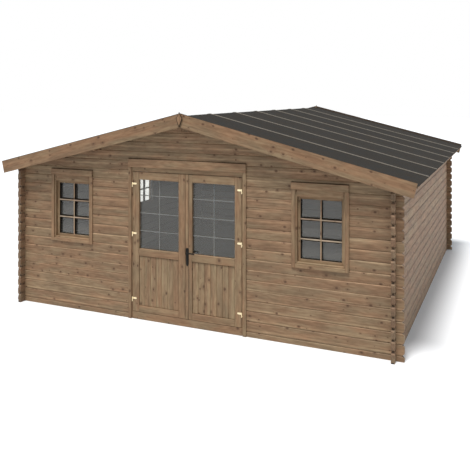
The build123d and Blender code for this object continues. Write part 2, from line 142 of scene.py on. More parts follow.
# Handle: pairs of radius and height for round shapes
HANDLE_X = 0.0325
HANDLE_HEIGHT = 1.008
SCREW = ((0.0042, 0.0), (0.0042, 0.0006), (0.0032, 0.0014), (0.0012, 0.0018))
PLATE_THICKNESS = 0.0055
PLATE_OUTLINE = (  # right half, from the foot to the head
    (0.004, -0.183), (0.012, -0.172), (0.019, -0.152), (0.0205, -0.080), (0.0205, -0.040),
    (0.0235, -0.030), (0.0235, 0.044), (0.020, 0.056), (0.013, 0.064), (0.004, 0.067),
)
PLATE_SCREWS = (-0.150, 0.050)
ROSE = ((0.0185, 0.0), (0.0185, 0.001), (0.0165, 0.0022), (0.0115, 0.0024))
KEYHOLE = ((0.0080, 0.0), (0.0080, 0.0008), (0.0066, 0.0016), (0.0030, 0.0010))
KEYHOLE_DROP = -0.080
NECK = (
    (0.0110, 0.0), (0.0090, 0.004), (0.0078, 0.010), (0.0078, 0.022), (0.0088, 0.031), (0.0070, 0.0355),
)
NECK_STANDOFF = 0.0085
GRIP = (  # distance along the grip, half height, half thickness and rise
    (-0.0085, 0.0035, 0.0035, 0.0), (-0.0060, 0.0080, 0.0052, 0.0), (0.0, 0.0105, 0.0060, 0.0),
    (0.020, 0.0102, 0.0058, 0.0005), (0.050, 0.0098, 0.0054, 0.0010), (0.080, 0.0098, 0.0052, 0.0008),
    (0.105, 0.0100, 0.0052, 0.0), (0.118, 0.0096, 0.0050, -0.0008), (0.123, 0.0070, 0.0038, -0.0012),
    (0.125, 0.0030, 0.0018, -0.0014),
)
GRIP_STANDOFF = 0.0385
GRIP_SIDES = 20
SPINDLE_RADIUS = 0.0055
SPINDLE_TAIL = 0.008  # past each face of the leaf

# Windows: depths are measured outwards from the wall's face
WINDOW_HALF = 0.300  # half of a window's daylight opening
WINDOW_HEIGHT = 0.826
WINDOW_SIDE = 0.040
WINDOW_BOTTOM = 0.040
WINDOW_TOP = 0.112
WINDOW_DEPTH = 0.095
WINDOW_SILL = 1.047
WINDOW_SPACING = 1.890  # front windows from the middle of the cabin
SIDE_WINDOW_PLACE = 0.360
SIDE_WINDOW_SILL = WINDOW_SILL - LOG_PITCH / 2
SASH_WIDTH = 0.034
SASH_FRONT = -0.045
SASH_BACK = -0.093
PANE_FRONT = -0.085
PANE_BACK = -0.091
PANES_HIGH = 3
PANE_OPENING = (WINDOW_HALF - SASH_WIDTH, SASH_WIDTH, WINDOW_HEIGHT - SASH_WIDTH)
BAR_WIDTH = 0.017
BAR_BACK = SASH_FRONT - 0.010
BAR_SHADE_WIDTHS = (0.020, 0.038)  # widths of the black bands of painted shade behind the upright and the level bars
SIDE_BAR_SHADE_WIDTHS = (0.012, 0.012)  # the same in the side wall's window
PANE_SHADE_LINER = 0.003  # black band of painted shade round the panes
TRIM_WIDTH = 0.050
TRIM_LAP = 0.020
TRIM_THICKNESS = 0.018
HEAD_BOARD_HEIGHT = 0.087
HEAD_BOARD_THICKNESS = 0.030
HEAD_SHADE_HEIGHT = 0.006  # dark strip over a head board, painted shade
HEAD_SHADE_DEPTH = 0.012

# Timber: noise cycles per metre, along the grain and across it, and their shares in the dark late wood
FIGURE_CYCLES = (0.8, 8.0, 8.0)
FIBRE_CYCLES = (5.0, 190.0, 190.0)
STREAK_CYCLES = (1.1, 34.0, 34.0)
FLECK_CYCLES = (11.0, 42.0, 42.0)
HUE_CYCLES = (2.4, 9.0, 9.0)
CLOUD_CYCLES = (3.1, 12.0, 12.0)
BAND_SHARE = 0.13
FIBRE_SHARE = 0.32
STREAK_SHARE = 0.40
FLECK_SHARE = 0.42
BAND_PHASE = 46.0  # growth bands over the range of the figure
KNOTS_ALONG = 6.0  # cells per metre, at most one knot in each
KNOTS_ACROSS = 8.4
KNOT_RADIUS = 0.115  # of the largest knot, in cells
HEART_DEPTH = 0.03  # heart of the end grain's rings below a board
RING_PHASE = 1500.0
LOG_RELIEF = 0.0006
BOARD_RELIEF = 0.0004
INSIDE_CALM = 0.85  # how far the planed inside hides the figure of the timber
FLOOR_CALM = 0.60

# Colours, linear; those near 1 multiply others
WHITE = (1.0, 1.0, 1.0, 1.0)
BLACK = (0.0, 0.0, 0.0, 1.0)
EARLY_WOOD = (0.318, 0.219, 0.136, 1.0)
LATE_WOOD = (0.185, 0.116, 0.066, 1.0)
INSIDE_WOOD = (0.245, 0.168, 0.104, 1.0)
KNOT_RIM = (0.150, 0.080, 0.043, 1.0)
KNOT_CORE = (0.070, 0.031, 0.015, 1.0)
# painted shade in the notches between log ends
NOTCH_PAINTED_SHADE = (0.022, 0.016, 0.012, 1.0)
RUDDY = (1.042, 0.930, 0.872, 1.0)
OLIVE = (1.000, 1.034, 1.005, 1.0)
# painted highlight along the gable walls' logs
PAINTED_HIGHLIGHT_LINE = (1.42, 1.44, 1.48, 1.0)
# painted light that lightens the logs' joints
JOINT_PAINTED_LIGHT = (1.24, 1.29, 1.36, 1.0)
END_PALE = (0.82, 0.83, 0.85, 1.0)
END_DARK = (0.68, 0.67, 0.67, 1.0)
FRONT_HUE = (1.01, 1.015, 1.01, 1.0)
SIDE_HUE = (0.98, 0.97, 0.99, 1.0)
PANEL_PALE = (1.22, 1.30, 1.32, 1.0)
BARGE_LOWER = (0.98, 1.06, 1.10, 1.0)
FELT_DARK = (0.0180, 0.0166, 0.0146, 1.0)
FELT_PALE = (0.0340, 0.0310, 0.0268, 1.0)
FELT_COOL = (0.92, 1.00, 1.10, 1.0)
FELT_WARM = (1.10, 1.00, 0.92, 1.0)
FELT_GRIT = (0.076, 0.072, 0.065, 1.0)
FELT_PIT = (0.012, 0.011, 0.010, 1.0)
GLASS_DARK = (0.945, 0.94, 0.90, 1.0)
GLASS_PALE = (0.965, 0.96, 0.92, 1.0)
GLASS_GLOSS = (1.0, 0.985, 0.95, 1.0)
GLASS_IOR = 1.47

# Studio
SKY_COLOUR = (0.95, 0.975, 1.0, 1.0)
SKY_STRENGTH = 0.40
STAGE_SIZE = 160.0
STAGE_DROP = 0.001
STAGE_BOUNCE = (0.58, 0.58, 0.58, 1.0)
STAGE_WHITE = (0.90, 0.935, 0.98, 1.0)
STAGE_LIFT = 0.01
CAMERA_PLACE = (4.126, -10.737, 3.149)
CAMERA_TURN = math.radians(23.72)
CAMERA_LENS = 49.1
CAMERA_SENSOR = 36.0
CAMERA_SHIFT = -0.2977


# Node trees

class Tree:
    """Adds nodes to a node tree and joins their sockets."""

    def __init__(self, tree):
        self.tree = tree

    def add(self, kind, sockets=None, **settings):
        """A new node; a socket's value is a number, a colour or another node's output."""
        node = self.tree.nodes.new(kind)
        for name, value in settings.items():
            setattr(node, name, value)
        for name, value in (sockets or {}).items():
            if isinstance(value, bpy.types.NodeSocket):
                self.tree.links.new(value, node.inputs[name])
            else:
                node.inputs[name].default_value = value
        return node

    def math(self, operation, *values):
        """The result of one arithmetic step."""
        return self.add("ShaderNodeMath", dict(enumerate(values)), operation=operation).outputs[0]

    def times(self, first, second):
        """Two numbers multiplied."""
        return self.math("MULTIPLY", first, second)

    def times_plus(self, first, second, third):
        """Two numbers multiplied, and a third added."""
        return self.math("MULTIPLY_ADD", first, second, third)

    def minus(self, first, second):
        """The difference of two numbers."""
        return self.math("SUBTRACT", first, second)

    def size(self, value):
        """A number without its sign."""
        return self.math("ABSOLUTE", value)

    def length(self, first, second):
        """The length of a line with two square parts."""
        return self.math("SQRT", self.times_plus(first, first, self.times(second, second)))

    def wave(self, phase):
        """A sine wave from 0 to 1."""
        return self.times_plus(self.math("SINE", phase), 0.5, 0.5)

    def ease(self, value, start, end, low=0.0, high=1.0):
        """A smooth step from low to high while the value goes from start to end."""
        sockets = {"Value": value, "From Min": start, "From Max": end, "To Min": low, "To Max": high}
        return self.add("ShaderNodeMapRange", sockets, interpolation_type="SMOOTHSTEP").outputs[0]

    def mix(self, factor, first, second, blend="MIX"):
        """Two colours mixed."""
        sockets = {0: factor, 6: first, 7: second}
        node = self.add("ShaderNodeMix", sockets, data_type="RGBA", blend_type=blend)
        return node.outputs[2]

    def tinted(self, colour, tone, factor=1.0):
        """A colour multiplied by another or by a number, in full or in part."""
        return self.mix(factor, colour, tone, "MULTIPLY")

    def vector(self, x, y, z):
        """Three numbers joined into a vector."""
        return self.add("ShaderNodeCombineXYZ", {0: x, 1: y, 2: z}).outputs[0]

    def split(self, vector):
        """The three numbers of a vector."""
        return self.add("ShaderNodeSeparateXYZ", {0: vector}).outputs

    def coordinates(self):
        """The place and the facing of a point on an object."""
        outputs = self.add("ShaderNodeTexCoord").outputs
        return outputs["Object"], outputs["Normal"]

    def dice(self, seed):
        """Fixed numbers from 0 to 1 that belong to a whole number."""
        return self.add("ShaderNodeTexWhiteNoise", {"W": seed}, noise_dimensions="1D").outputs

    def noise(self, vector, cycles=None, detail=2.0, roughness=0.5, distortion=0.0):
        """Soft noise, about 0 to 1, with its cycles per unit along each axis."""
        if cycles:
            scaled = self.add("ShaderNodeVectorMath", {0: vector, 1: cycles}, operation="MULTIPLY")
            vector = scaled.outputs[0]
        sockets = dict(Vector=vector, Scale=1.0, Detail=detail, Roughness=roughness, Distortion=distortion)
        return self.add("ShaderNodeTexNoise", sockets).outputs[0]


def empty_tree(owner):
    """The cleared node tree of a material or a world."""
    owner.use_nodes = True
    owner.node_tree.nodes.clear()
    return Tree(owner.node_tree)


# Timber

def knots(t, grain):
    """Scattered knots: how far a point lies in a core, and in the halo round it."""
    along, across, deep = t.split(grain)
    side = t.math("ADD", across, t.times(deep, 0.6))
    cells = t.vector(t.times(along, KNOTS_ALONG), t.times(side, KNOTS_ACROSS), 0.0)
    sockets = {"Vector": cells, "Scale": 1.0, "Randomness": 0.95}
    spots = t.add("ShaderNodeTexVoronoi", sockets, voronoi_dimensions="2D").outputs
    chance = t.split(spots["Color"])[0]
    radius = t.ease(chance, 0.38, 1.0, 0.0, KNOT_RADIUS)
    reach = t.math("DIVIDE", spots["Distance"], t.math("ADD", radius, 0.004))
    return t.ease(reach, 1.5, 0.30), t.ease(reach, 3.4, 0.8)


def growth_figure(t, grain, halo):
    """How much late wood shows, and the growth bands and fibres in it."""
    figure = t.noise(grain, FIGURE_CYCLES, distortion=0.4)
    swell = t.times(halo, 0.14)
    bands = t.wave(t.times(t.math("ADD", figure, swell), BAND_PHASE))
    fibres = t.noise(grain, FIBRE_CYCLES, detail=3.0, roughness=0.65)
    streaks = t.noise(grain, STREAK_CYCLES, roughness=0.6)
    flecks = t.noise(grain, FLECK_CYCLES, detail=1.0)
    late = t.times_plus(bands, BAND_SHARE, t.times(fibres, FIBRE_SHARE))
    late = t.times_plus(streaks, STREAK_SHARE, late)
    late = t.times_plus(flecks, FLECK_SHARE, late)
    return t.ease(late, 0.32, 0.93), bands, fibres


def weathered(t, grain, tint, colour):
    """Ruddy and olive patches, and soft clouds of light and dark."""
    tone = t.noise(grain, HUE_CYCLES)
    hue = t.ease(t.times_plus(tint, 0.16, tone), 0.40, 0.76)
    colour = t.tinted(colour, t.mix(hue, RUDDY, OLIVE))
    cloud = t.noise(grain, CLOUD_CYCLES, detail=1.0)
    return t.tinted(colour, t.times_plus(tint, 0.14, t.ease(cloud, 0.25, 0.75, 0.80, 1.06)))


def timber_group():
    """Sawn pine over grain coordinates, X along the grain."""
    group = bpy.data.node_groups.new("timber", "ShaderNodeTree")
    for name, way, kind in (
        ("Grain", "INPUT", "NodeSocketVector"),
        ("Tint", "INPUT", "NodeSocketFloat"),
        ("Colour", "OUTPUT", "NodeSocketColor"),
        ("Roughness", "OUTPUT", "NodeSocketFloat"),
        ("Height", "OUTPUT", "NodeSocketFloat"),
    ):
        group.interface.new_socket(name=name, in_out=way, socket_type=kind)
    t = Tree(group)
    given = t.add("NodeGroupInput").outputs
    grain, tint = given["Grain"], given["Tint"]
    core, halo = knots(t, grain)
    late, bands, fibres = growth_figure(t, grain, halo)
    colour = weathered(t, grain, tint, t.mix(late, EARLY_WOOD, LATE_WOOD))
    colour = t.mix(t.times(halo, 0.30), colour, KNOT_RIM)
    colour = t.mix(t.times(core, 0.88), colour, KNOT_CORE)
    rough = t.times_plus(fibres, 0.25, 0.58)
    height = t.times_plus(fibres, 0.6, t.times(bands, 0.4))
    height = t.minus(height, t.times(core, 0.5))
    t.add("NodeGroupOutput", {"Colour": colour, "Roughness": rough, "Height": height})
    return group


TIMBER = timber_group()


def timber(t, grain, tint):
    """Colour, roughness and height of the timber in a material."""
    return t.add("ShaderNodeGroup", {"Grain": grain, "Tint": tint}, node_tree=TIMBER).outputs


def new_material(name):
    """An empty material with its tree, shader and output."""
    material = bpy.data.materials.new(name)
    t = empty_tree(material)
    shader = t.add("ShaderNodeBsdfPrincipled")
    t.add("ShaderNodeOutputMaterial", {"Surface": shader.outputs[0]})
    return material, t, shader


def plug(t, shader, colour, roughness, height=None, depth=LOG_RELIEF):
    """Join a material's varying colour, roughness and bump to its shader."""
    t.tree.links.new(colour, shader.inputs["Base Color"])
    t.tree.links.new(roughness, shader.inputs["Roughness"])
    if height is not None:
        bump = t.add("ShaderNodeBump", {"Strength": 0.5, "Distance": depth, "Height": height})
        t.tree.links.new(bump.outputs[0], shader.inputs["Normal"])


def end_grain(t, across, deep, colour):
    """Growth rings round a heart just below the board, for the cut ends."""
    radius = t.length(t.math("ADD", across, HEART_DEPTH), deep)
    rings = t.wave(t.times(radius, RING_PHASE))
    return t.tinted(colour, t.mix(rings, END_PALE, END_DARK))


def painted_highlight_lines(t, height, run, colour):
    """A pale line of painted highlight along each log of the gable walls, uneven along its length."""
    start = 0.5 - HIGHLIGHT_LINE_FIRST / HIGHLIGHT_LINE_PITCH
    beat = t.times_plus(height, 1.0 / HIGHLIGHT_LINE_PITCH, start)
    away = t.times(t.size(t.minus(t.math("FRACT", beat), 0.5)), HIGHLIGHT_LINE_PITCH)
    # patches where the painted highlight is weaker or stronger
    highlight_patchiness = t.noise(t.vector(t.times(run, 5.0), t.math("FLOOR", beat), 0.0))
    strength = t.times(t.ease(away, 0.018, 0.003), t.ease(highlight_patchiness, 0.2, 0.6, 0.45, 1.0))
    return t.tinted(colour, PAINTED_HIGHLIGHT_LINE, strength)


def side_painted_shade(t, height, joint, colour):
    """Painted shade: darker in the joints between the side walls' logs and towards the ground."""
    joint_shade = t.ease(joint, 0.0, 0.045, 0.80, 1.04)
    return t.tinted(colour, t.times(joint_shade, t.ease(height, 0.0, 1.1, 0.84, 1.01)))


def inside_faces(t, facing, depth, run, reach):
    """How far a place lies on a wall's inner face, where the timber is planed smooth."""
    inward = t.times(facing, t.math("SIGN", depth))
    between = t.math("LESS_THAN", t.size(run), reach)
    return t.times(t.ease(inward, -0.5, -0.9, 0.0, INSIDE_CALM), between)


def log_material(name, along, row_shift, middle, reach, hue):
    """Timber of the log walls: each row of logs has its own stretch of grain and its own tint."""
    material, t, shader = new_material(name)
    where, facing = [t.split(vector) for vector in t.coordinates()]
    run, depth, up = where[along], where[1 - along], where[2]
    row = t.math("FLOOR", t.times_plus(up, 1.0 / LOG_PITCH, row_shift))
    far_wall = t.math("GREATER_THAN", depth, 0.0)
    draw = t.split(t.dice(t.times_plus(far_wall, 37.0, row))["Color"])
    grain = t.vector(t.times_plus(draw[0], 17.0, run), t.times_plus(draw[1], 5.0, up), depth)
    wood = timber(t, grain, draw[2])
    colour = t.tinted(wood["Colour"], hue)

    height = t.minus(up, t.times(t.minus(row, row_shift), LOG_PITCH))
    joint = t.math("PINGPONG", height, LOG_PITCH / 2)
    from_middle = t.minus(t.size(depth), middle)
    cut = end_grain(t, height, from_middle, colour)
    # Painted shade: a dark spot on the cut ends at each joint, where the notch between log ends lies in
    # shade.
    corner = t.math("MAXIMUM", joint, t.size(from_middle))
    cut = t.mix(t.ease(corner, 0.017, 0.012), cut, NOTCH_PAINTED_SHADE)
    # Painted light: the joints are lightened to cancel the shade in their grooves.
    side = t.tinted(colour, JOINT_PAINTED_LIGHT, t.ease(joint, 0.012, 0.003))
    if along == ALONG_X:
        side = painted_highlight_lines(t, up, run, side)
    else:
        # painted shade on the side walls
        side = side_painted_shade(t, up, joint, side)
    inside = inside_faces(t, facing[1 - along], depth, run, reach)
    side = t.mix(inside, side, INSIDE_WOOD)
    is_end = t.ease(t.size(facing[along]), 0.5, 0.9)
    relief = t.times(wood["Height"], t.minus(1.0, inside))
    plug(t, shader, t.mix(is_end, side, cut), wood["Roughness"], relief)
    return material


def beam_material(name, along):
    """Timber of beams and joists, its grain along one axis of the cabin."""
    material, t, shader = new_material(name)
    where = t.split(t.coordinates()[0])
    wood = timber(t, t.vector(where[along], where[2], where[1 - along]), 0.45)
    plug(t, shader, wood["Colour"], wood["Roughness"], wood["Height"])
    return material


def board_materials(name, hue=WHITE, calm=0.0, stain=None):
    """Timber of planed boards with their own grain: their faces, perhaps stained, and their ends."""
    pair = []
    for part in ("face", "end"):
        material, t, shader = new_material(f"{name}_{part}")
        grain = t.add("ShaderNodeAttribute", attribute_name="grain").outputs["Vector"]
        tint = t.add("ShaderNodeAttribute", attribute_name="tint").outputs["Fac"]
        wood = timber(t, grain, tint)
        colour = t.mix(calm, t.tinted(wood["Colour"], hue), INSIDE_WOOD)
        if part == "end":
            across, deep = t.split(grain)[1:]
            colour = end_grain(t, across, deep, colour)
        elif stain:
            colour = stain(t, colour)
        plug(t, shader, colour, wood["Roughness"], wood["Height"], BOARD_RELIEF * (1.0 - calm))
        pair.append(material)
    return pair


def panel_stain(t, colour):
    """Each board of the leaves' lower panels is pale along one half of its width."""
    low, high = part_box("right_leaf_panel")
    per_metre = PANEL_BOARDS / (high.x - low.x)
    x = t.split(t.coordinates()[0])[0]
    beat = t.times_plus(x, per_metre, -low.x * per_metre)
    share = t.dice(t.math("FLOOR", beat))["Value"]
    pale = t.times(t.ease(t.math("FRACT", beat), 0.45, 0.62), share)
    return t.tinted(colour, PANEL_PALE, pale)


def barge_knots(t, where, down):
    """Knots in a row by the barge boards' upper edge, one in each stretch."""
    right = t.math("GREATER_THAN", where[0], 0.0)
    beat = t.times_plus(t.size(where[0]), 1.0 / BARGE_KNOT_PITCH, t.times(right, 0.4))
    draw = t.split(t.dice(t.math("FLOOR", beat))["Color"])
    centre = t.times_plus(draw[0], 0.3, 0.35)
    along = t.times(t.minus(t.math("FRACT", beat), centre), BARGE_KNOT_PITCH * 0.7)
    across = t.minus(down, t.times_plus(draw[1], 0.03, 0.012))
    reach = t.math("DIVIDE", t.length(along, across), t.times_plus(draw[2], 0.007, 0.010))
    return t.ease(reach, 1.3, 0.4, 0.0, 0.85)


def barge_stain(t, colour):
    """The barge boards are ruddy above, paler below and knotty by the upper edge."""
    where = t.split(t.coordinates()[0])
    top = t.times_plus(t.size(where[0]), -ROOF_SLOPE, BARGE_TOP)
    down = t.times(t.minus(top, where[2]), math.cos(ROOF_PITCH))
    colour = t.tinted(colour, BARGE_LOWER, t.ease(down, 0.105, 0.135))
    return t.mix(barge_knots(t, where, down), colour, KNOT_CORE)


# Other materials

def felt_material():
    """Mineral felt: fine slate granules, each strip with its own tone, slightly mottled."""
    material, t, shader = new_material("mineral_felt")
    spot = t.coordinates()[0]
    strips_per_metre = FELT_STRIPS / (2 * ROOF_HALF_LENGTH)
    strip = t.math("FLOOR", t.times_plus(t.split(spot)[1], strips_per_metre, FELT_STRIPS / 2))
    granules = t.noise(spot, (420.0, 420.0, 420.0), detail=1.0)
    mottle = t.noise(spot, (2.2, 5.0, 5.0), detail=3.0, roughness=0.6)
    patches = t.noise(spot, (7.0, 11.0, 11.0))
    level = t.times_plus(t.dice(strip)["Value"], 0.16, t.times(mottle, 0.45))
    colour = t.mix(level, FELT_DARK, FELT_PALE)
    colour = t.tinted(colour, t.mix(t.ease(patches, 0.35, 0.65), FELT_COOL, FELT_WARM))
    colour = t.mix(t.ease(granules, 0.56, 0.75, 0.0, 0.40), colour, FELT_GRIT)
    colour = t.mix(t.ease(granules, 0.42, 0.26, 0.0, 0.5), colour, FELT_PIT)
    shader.inputs["Specular IOR Level"].default_value = 0.1
    plug(t, shader, colour, t.times_plus(mottle, 0.10, 0.88), granules, 0.0012)
    return material


def mottled_material(name, dark, pale, cycles, roughness, gloss, metallic=0.0):
    """A finish of two near tones in fine noise, for metal, plastic and the black strips of painted shade."""
    material, t, shader = new_material(name)
    grain = t.noise(t.coordinates()[0], (cycles, cycles, cycles), detail=3.0, roughness=0.6)
    shader.inputs["Metallic"].default_value = metallic
    shader.inputs["Specular IOR Level"].default_value = gloss
    rough = t.ease(grain, 0.3, 0.7, roughness - 0.06, roughness + 0.06)
    colour = t.mix(t.ease(grain, 0.3, 0.7), (*dark, 1.0), (*pale, 1.0))
    plug(t, shader, colour, rough, grain, 0.0002)
    return material


def glass_material(name, clearness):
    """Clear pane with a faint even haze."""
    material, t, shader = new_material(name)
    cloud = t.noise(t.coordinates()[0], (3.0, 3.0, 3.0))
    shader.inputs["Transmission Weight"].default_value = clearness
    shader.inputs["IOR"].default_value = GLASS_IOR
    shader.inputs["Specular Tint"].default_value = GLASS_GLOSS
    plug(t, shader, t.mix(cloud, GLASS_DARK, GLASS_PALE), t.times(cloud, 0.002))
    return material


FRONT_LOGS = log_material("front_logs", ALONG_X, 0.5, FRONT_MIDDLE, INNER_HALF_WIDTH, FRONT_HUE)
SIDE_LOGS = log_material("side_logs", ALONG_Y, 0.0, SIDE_MIDDLE, INNER_HALF_LENGTH, SIDE_HUE)
CROSS_BEAMS = beam_material("cross_beams", ALONG_X)
LONG_BEAMS = beam_material("long_beams", ALONG_Y)
JOINERY = board_materials("joinery", (1.09, 1.10, 1.08, 1.0))
# Painted light: the level bars are paler than the upright ones, standing in for light on their tops.
PAINTED_LIGHT_LEVEL_BARS = board_materials("painted_light_level_bars", (1.55, 1.88, 2.36, 1.0))
UPRIGHT_BARS = board_materials("upright_glazing_bars", (1.45, 1.56, 1.72, 1.0))
ROOFING = board_materials("roofing", (1.06, 1.04, 1.0, 1.0))
EAVES = board_materials("eaves", SIDE_HUE)
FLOORING = board_materials("flooring", calm=FLOOR_CALM)
PANELS = board_materials("panel", (1.04, 1.06, 1.05, 1.0), stain=panel_stain)
BARGES = board_materials("barge", (1.06, 1.015, 0.965, 1.0), stain=barge_stain)
FELT = felt_material()
LAP_FELT = mottled_material("felt_lap", (0.19, 0.175, 0.15), (0.28, 0.255, 0.22), 60.0, 0.9, 0.1)
EDGE_FELT = mottled_material("felt_edge", (0.03, 0.026, 0.023), (0.05, 0.044, 0.038), 200.0, 0.9, 0.1)
WORN_EDGE = mottled_material("worn_felt_edge", (0.085, 0.062, 0.048), (0.125, 0.094, 0.074), 60.0, 0.9, 0.1)
# painted shade round the apex diamond
RIM_PAINTED_SHADE = mottled_material("painted_shade_rim", (0.05, 0.034, 0.022), (0.08, 0.054, 0.035), 80.0, 0.8, 0.2)
# painted shade over the head boards of the windows and the door
HEAD_PAINTED_SHADE = mottled_material("dark_head_seal", (0.036, 0.024, 0.016), (0.056, 0.038, 0.026), 120.0, 0.8, 0.1)
# black of painted shade: bands by the glazing bars, round the panes and beside the meeting strip
PAINTED_SHADE_BLACK = mottled_material("painted_shade_black", (0.01, 0.008, 0.007), (0.018, 0.015, 0.012), 120.0, 0.8, 0.08)
BLACK_METAL = mottled_material("black_metal", (0.01, 0.009, 0.008), (0.02, 0.018, 0.016), 160.0, 0.55, 0.14)
BRASS = mottled_material("pale_brass", (0.86, 0.70, 0.42), (0.93, 0.80, 0.55), 90.0, 0.30, 0.5, 1.0)
GLASS_BAR = mottled_material("grey_glazing_bar", (0.20, 0.20, 0.19), (0.25, 0.25, 0.235), 40.0, 0.6, 0.3)
DOOR_GLASS = glass_material("door_glass", 0.968)
WINDOW_GLASS = glass_material("window_glass", 0.932)


# Meshes

class Piece:
    """Boards and fittings gathered into one mesh, each with its own grain and tint."""

    def __init__(self, name, chamfer=FINE_EDGE, place=Matrix()):
        self.name = name
        self.chamfer = chamfer
        self.place = place
        self.mesh = bmesh.new()
        self.grain = self.mesh.verts.layers.float_vector.new("grain")
        self.tint = self.mesh.verts.layers.float.new("tint")
        self.random = random.Random(name)

    def skin(self, rows, place, end_slot=0):
        """A closed skin over rows of points; the grain follows the points' own X."""
        shift = Vector([self.random.uniform(-20.0, 20.0) for _ in range(3)])
        tint = self.random.random()
        rings = []
        for row in rows:
            ring = [self.mesh.verts.new(place @ Vector(point)) for point in row]
            for vert, point in zip(ring, row):
                vert[self.grain] = Vector(point) + shift
                vert[self.tint] = tint
            rings.append(ring)
        faces = []
        for near, far in zip(rings, rings[1:]):
            for index in range(len(near)):
                after = (index + 1) % len(near)
                faces.append(self.mesh.faces.new((near[index], near[after], far[after], far[index])))
        for ring in (list(reversed(rings[0])), rings[-1]):
            cap = self.mesh.faces.new(ring)
            cap.material_index = end_slot
            faces.append(cap)
        bmesh.ops.recalc_face_normals(self.mesh, faces=faces)

    def board(self, low, high, grain):
        """A board between two corners, its edges chamfered and its grain along one axis."""
        first, second = [axis for axis in range(3) if axis != grain]
        turn = Matrix(((0, 0, 0, 0), (0, 0, 0, 0), (0, 0, 0, 0), (0, 0, 0, 1)))
        turn[grain][0] = turn[first][1] = turn[second][2] = 1.0
        start, stop = sorted((low[grain], high[grain]))
        wide = sorted((low[first], high[first]))
        thick = sorted((low[second], high[second]))
        edge = self.chamfer
        rows = []
        for along, inset in ((start, edge), (start + edge, 0.0), (stop - edge, 0.0), (stop, edge)):
            rows.append([(along, y, z) for y, z in octagon(wide, thick, edge, inset)])
        self.skin(rows, self.place @ turn, end_slot=1)

    def plate(self, outline, depth, place, chamfer=FINE_EDGE):
        """A convex outline in X and Y drawn out along Z, its edges chamfered."""
        small = inset_outline(outline, chamfer)
        rows = []
        for z, points in ((0.0, small), (chamfer, outline), (depth - chamfer, outline), (depth, small)):
            rows.append([(x, y, z) for x, y in points])
        self.skin(rows, place)

    def lathe(self, profile, place, sides=20):
        """A round shape about local Z from pairs of radius and height."""
        rows = []
        for radius, height in profile:
            rows.append([(radius * math.cos(a), radius * math.sin(a), height) for a in circle(sides)])
        self.skin(rows, place)

    def finish(self, body, materials, replaces=()):
        """Make the object, with its materials, and let it ride on a body."""
        data = bpy.data.meshes.new(self.name)
        self.mesh.to_mesh(data)
        self.mesh.free()
        piece = bpy.data.objects.new(self.name, data)
        bpy.context.scene.collection.objects.link(piece)
        for material in materials:
            data.materials.append(material)
        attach(piece, body)
        if replaces:
            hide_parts(*replaces)


def circle(sides):
    """Angles of the corners of a many-sided ring."""
    return [2 * math.pi * step / sides for step in range(sides)]


def octagon(wide, thick, chamfer, inset):
    """A rectangle with cut corners, drawn in by the inset."""
    y0, y1 = wide[0] + inset, wide[1] - inset
    z0, z1 = thick[0] + inset, thick[1] - inset
    c = chamfer if inset == 0.0 else chamfer * 0.5
    return [
        (y0 + c, z0), (y1 - c, z0), (y1, z0 + c), (y1, z1 - c),
        (y1 - c, z1), (y0 + c, z1), (y0, z1 - c), (y0, z0 + c),
    ]


def rectangle(left, low, right, high):
    """Outline of a rectangle."""
    return [(left, low), (right, low), (right, high), (left, high)]


def inset_outline(outline, distance):
    """A convex outline drawn in by a distance."""
    points = [Vector(point) for point in outline]
    area = sum(a.x * b.y - b.x * a.y for a, b in zip(points, points[1:] + points[:1]))
    turn = 1.0 if area > 0 else -1.0
    result = []
    for index, point in enumerate(points):
        before = (point - points[index - 1]).normalized()
        after = (points[(index + 1) % len(points)] - point).normalized()
        inward = Vector((-before.y - after.y, before.x + after.x)) * turn
        inward.normalize()
        square = Vector((-before.y, before.x)) * turn
        result.append(point + inward * (distance / max(inward.dot(square), 0.2)))
    return [(point.x, point.y) for point in result]


def axes_matrix(x, y, z, origin):
    """A place from its three axes and its origin."""
    matrix = Matrix((x, y, z)).transposed().to_4x4()
    matrix.translation = Vector(origin)
    return matrix


def facing_matrix(origin, right, out):
    """Local X to the right, Y up and Z out of a wall's face."""
    return axes_matrix(right, (0, 0, 1), out, origin)


def moved(place, x=0.0, y=0.0, z=0.0):
    """A place moved along its own axes."""
    return place @ Matrix.Translation((x, y, z))


# Windows

def rim(piece, opening, widths, span):
    """Stiles and rails round an opening; widths are those of the sides, the bottom and the top."""
    half, low, high = opening
    side, bottom, top = widths
    back, front = span
    for way in (-1, 1):
        outer = (way * (half + side), high + top, front)
        piece.board((way * half, low - bottom, back), outer, ALONG_Y)
    rail = half - JOINT
    piece.board((-rail, low - bottom, back), (rail, low, front), ALONG_X)
    piece.board((-rail, high, back), (rail, high + top, front), ALONG_X)


def lattice(upright, level, widths, span):
    """A bar up the middle of one window's panes, and level bars cut against it."""
    half, low, high = PANE_OPENING
    back, front = span
    across, tall = [width / 2 for width in widths]
    upright.board((-across, low, back), (across, high, front), ALONG_Y)
    for step in range(1, PANES_HIGH):
        y = low + (high - low) * step / PANES_HIGH
        for start, stop in ((-half, -across - JOINT), (across + JOINT, half)):
            level.board((start, y - tall, back), (stop, y + tall, front), ALONG_X)


def window_members(name, place):
    """Frame and sash of one window."""
    piece = Piece(f"{name}_members", FRAME_EDGE, place)
    widths = (WINDOW_SIDE, WINDOW_BOTTOM, WINDOW_TOP)
    rim(piece, (WINDOW_HALF, 0.0, WINDOW_HEIGHT), widths, (-WINDOW_DEPTH, 0.0))
    sash = SASH_WIDTH - JOINT
    rim(piece, PANE_OPENING, (sash, sash, sash), (SASH_BACK, SASH_FRONT))
    piece.finish("cabin", JOINERY, [f"{name}_frame"])


